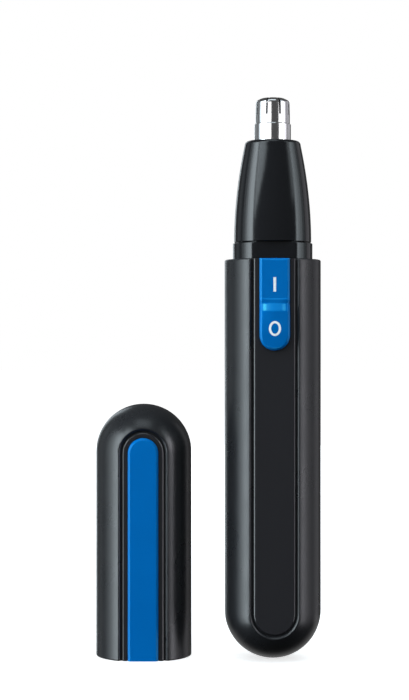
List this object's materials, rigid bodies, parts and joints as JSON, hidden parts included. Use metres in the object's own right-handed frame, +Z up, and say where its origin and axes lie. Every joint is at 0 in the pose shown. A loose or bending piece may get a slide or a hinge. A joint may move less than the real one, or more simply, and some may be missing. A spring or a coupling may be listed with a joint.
{
  "type": "nose hair trimmer",
  "caption": "Pen-shaped nose hair trimmer with a round-ended sleeve, thumb switch, tapered head, slotted steel guard and a matching domed cap standing beside it.",
  "frame": {"origin": "on the handle's long axis in the middle of the grip, 45.5 mm above the handle's round foot", "axes": "+Z up the handle towards the cutting tip, +Y to the back, so the switch faces -Y, and -X towards the loose cap"},
  "size_m": [0.0516, 0.0259, 0.1284],
  "materials": {
    "satin_black": "satin black moulded ABS with a very fine texture",
    "gloss_black": "polished black moulded plastic",
    "blue": "semi-gloss mid-blue moulded plastic",
    "chrome": "polished stainless steel",
    "steel": "plain steel",
    "brass": "plain brass",
    "copper": "copper alloy strip and enamelled wire",
    "grey_plastic": "grey moulded plastic",
    "white_plastic": "natural acetal",
    "seal_rubber": "black rubber ring",
    "ferrite": "dark sintered ferrite",
    "cell_label": null,
    "red_sheath": "red wire insulation",
    "black_sheath": "black wire insulation"
  },
  "bodies": {
    "casing": {"casing": "satin_black", "front_panel": "gloss_black"},
    "switch": {"switch_button": "blue", "switch_slider": "white_plastic", "switch_wiper": "copper"},
    "drive_unit": {"cradle": "grey_plastic", "neck_collar": "gloss_black", "neck_seal": "seal_rubber", "motor_can": "steel", "motor_end_cap": "white_plastic", "motor_bearing": "brass", "battery": "cell_label", "battery_button": "steel", "negative_strip": "copper", "negative_spring": "steel", "positive_plate": "copper", "switch_terminal": "brass", "red_lead": "red_sheath", "black_lead": "black_sheath", "motor_screw_left": "steel", "motor_screw_right": "steel", "motor_magnet_left": "ferrite", "motor_magnet_right": "ferrite", "motor_terminal_left": "copper", "motor_terminal_right": "copper", "motor_brush_left": "copper", "motor_brush_right": "copper"},
    "rotor": {"motor_shaft": "steel", "armature": "steel", "armature_coil_1": "copper", "armature_coil_2": "copper", "armature_coil_3": "copper", "commutator": "brass", "drive_dog": "white_plastic"},
    "head": {"head_housing": "gloss_black", "outer_cutter": "chrome", "head_retainer": "grey_plastic", "stem_bush": "brass"},
    "cutter": {"cutter_holder": "white_plastic", "cutter_spring": "steel", "inner_cutter": "steel"},
    "cap": {"cap_shell": "satin_black", "cap_inlay": "gloss_black", "cap_stripe": "blue"}
  },
  "joints": [
    {"name": "drive_unit_slide", "type": "slide", "parent": "casing", "child": "drive_unit", "axis": [0, 0, 1], "range_m": [0, 0.09]},
    {"name": "switch_slide", "type": "slide", "parent": "drive_unit", "child": "switch", "axis": [0, 0, 1], "range_m": [0, 0.0035]},
    {"name": "motor_spin", "type": "hinge", "parent": "drive_unit", "child": "rotor", "pos_m": [0, 0, 0.03], "axis": [0, 0, 1], "continuous": true},
    {"name": "head_pull", "type": "slide", "parent": "drive_unit", "child": "head", "axis": [0, 0, 1], "range_m": [0, 0.025]},
    {"name": "blade_spin", "type": "hinge", "parent": "head", "child": "cutter", "pos_m": [0, 0, 0.07], "axis": [0, 0, 1], "continuous": true},
    {"name": "cap_lift", "type": "slide", "parent": "casing", "child": "cap", "axis": [0, 0, 1], "range_m": [0, 0.06]}
  ],
  "couplings": [
    {"joint": "blade_spin", "follows": "motor_spin", "ratio": 1}
  ]
}
